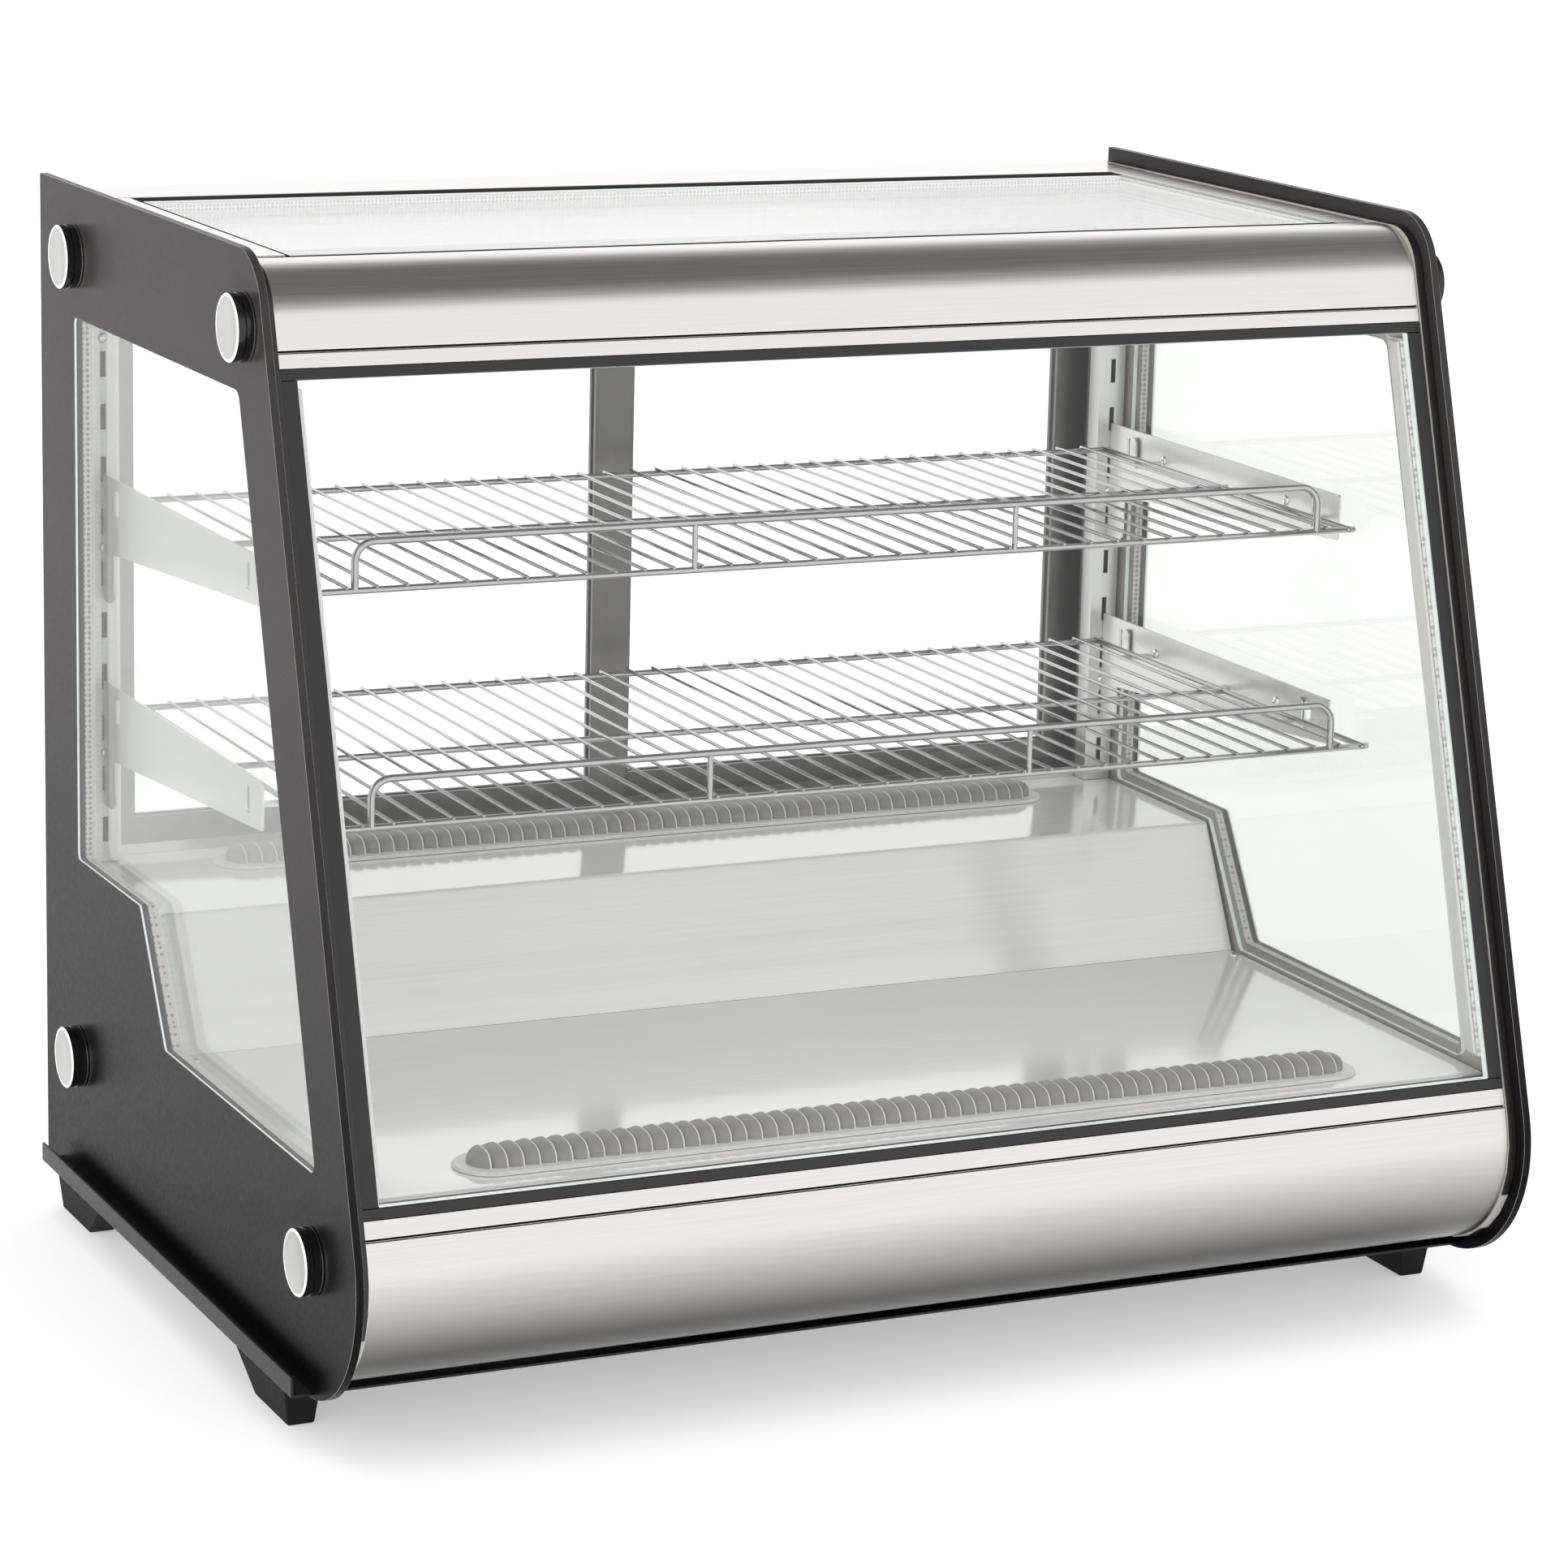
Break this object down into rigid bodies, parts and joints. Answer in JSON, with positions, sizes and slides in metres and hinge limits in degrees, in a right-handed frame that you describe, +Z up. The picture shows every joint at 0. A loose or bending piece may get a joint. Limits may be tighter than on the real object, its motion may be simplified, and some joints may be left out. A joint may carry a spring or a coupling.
{
  "type": "hot food display case",
  "caption": "Countertop display case with sloped front glass, clear glass sides on stand-off caps, lift-out wire shelves, louvred air vents and sliding rear glass doors.",
  "frame": {"origin": "middle of the bounding box on the plane under the feet", "axes": "+X across the case to the right seen from the front, +Y from the front glass to the rear doors, +Z up"},
  "size_m": [0.81, 0.5914, 0.686],
  "materials": {
    "black_sheet": "gloss black coating",
    "black_frame": "satin black moulding",
    "black_plastic": "satin",
    "rubber": "matte",
    "brushed_steel": "brushed along the width",
    "deck_steel": "satin",
    "chrome": "bright plated wire",
    "aluminium": "satin",
    "dark_anodised": "dark anodised",
    "clear_glass": "polished clear",
    "diffuser": "translucent white",
    "vent_plastic": "satin grey",
    "red_rocker": "gloss red",
    "green_rocker": "gloss green",
    "heater_sheath": "dull heat-tinted sheath"
  },
  "bodies": {
    "case": {"base_tray": "black_sheet", "foot_front_left": "rubber", "foot_front_right": "rubber", "foot_rear_left": "rubber", "foot_rear_right": "rubber", "top_fascia": "brushed_steel", "top_trim": "black_plastic", "bottom_fascia": "brushed_steel", "bottom_trim": "black_plastic", "front_glass": "clear_glass", "top_glass": "clear_glass", "top_header": "brushed_steel", "rear_sill": "brushed_steel", "rear_deck": "deck_steel", "front_deck": "deck_steel", "vent_rear": "vent_plastic", "vent_front": "vent_plastic", "rear_cover": "brushed_steel", "heater_element": "heater_sheath", "fan_motor": "dark_anodised", "power_inlet": "black_plastic", "temperature_display": "black_plastic", "side_glass_left": "clear_glass", "side_frame_left": "black_frame", "side_pane_left": "clear_glass", "front_stile_left": "black_plastic", "led_bar_left": "aluminium", "led_diffuser_left": "diffuser", "rear_post_left": "dark_anodised", "shelf_standard_left": "aluminium", "bracket_upper_left": "aluminium", "bracket_lower_left": "aluminium", "cap_rear_top_left": "aluminium", "cap_front_top_left": "aluminium", "cap_rear_low_left": "aluminium", "cap_front_low_left": "aluminium", "side_glass_right": "clear_glass", "side_frame_right": "black_frame", "side_pane_right": "clear_glass", "front_stile_right": "black_plastic", "led_bar_right": "aluminium", "led_diffuser_right": "diffuser", "rear_post_right": "dark_anodised", "shelf_standard_right": "aluminium", "bracket_upper_right": "aluminium", "bracket_lower_right": "aluminium", "cap_rear_top_right": "aluminium", "cap_front_top_right": "aluminium", "cap_rear_low_right": "aluminium", "cap_front_low_right": "aluminium"},
    "door_left": {"door_frame_left": "dark_anodised", "door_glass_left": "clear_glass"},
    "door_right": {"door_frame_right": "dark_anodised", "door_glass_right": "clear_glass"},
    "shelf_upper": {"wire_shelf_upper": "chrome"},
    "shelf_lower": {"wire_shelf_lower": "chrome"},
    "fan": {"fan_impeller": "black_plastic"},
    "knob": {"thermostat_knob": "black_plastic"},
    "power_rocker": {"power_switch": "red_rocker"},
    "light_rocker": {"light_switch": "green_rocker"}
  },
  "joints": [
    {"name": "door_left_slide", "type": "slide", "parent": "case", "child": "door_left", "axis": [1, 0, 0], "range_m": [0, 0.359]},
    {"name": "door_right_slide", "type": "slide", "parent": "case", "child": "door_right", "axis": [-1, 0, 0], "range_m": [0, 0.359]},
    {"name": "shelf_upper_lift", "type": "slide", "parent": "case", "child": "shelf_upper", "axis": [0, 0, 1], "range_m": [0, 0.08]},
    {"name": "shelf_lower_lift", "type": "slide", "parent": "case", "child": "shelf_lower", "axis": [0, 0, 1], "range_m": [0, 0.06]},
    {"name": "fan_spin", "type": "hinge", "parent": "case", "child": "fan", "pos_m": [0, 0.07765, 0.098], "axis": [0, 1, 0], "continuous": true},
    {"name": "knob_turn", "type": "hinge", "parent": "case", "child": "knob", "pos_m": [0.15, 0.27915, 0.165], "axis": [0, -1, 0], "range_deg": [0, 270]},
    {"name": "power_rock", "type": "hinge", "parent": "case", "child": "power_rocker", "pos_m": [0.225, 0.27515, 0.165], "axis": [1, 0, 0], "range_deg": [0, 12]},
    {"name": "light_rock", "type": "hinge", "parent": "case", "child": "light_rocker", "pos_m": [0.262, 0.27515, 0.165], "axis": [1, 0, 0], "range_deg": [0, 12]}
  ]
}
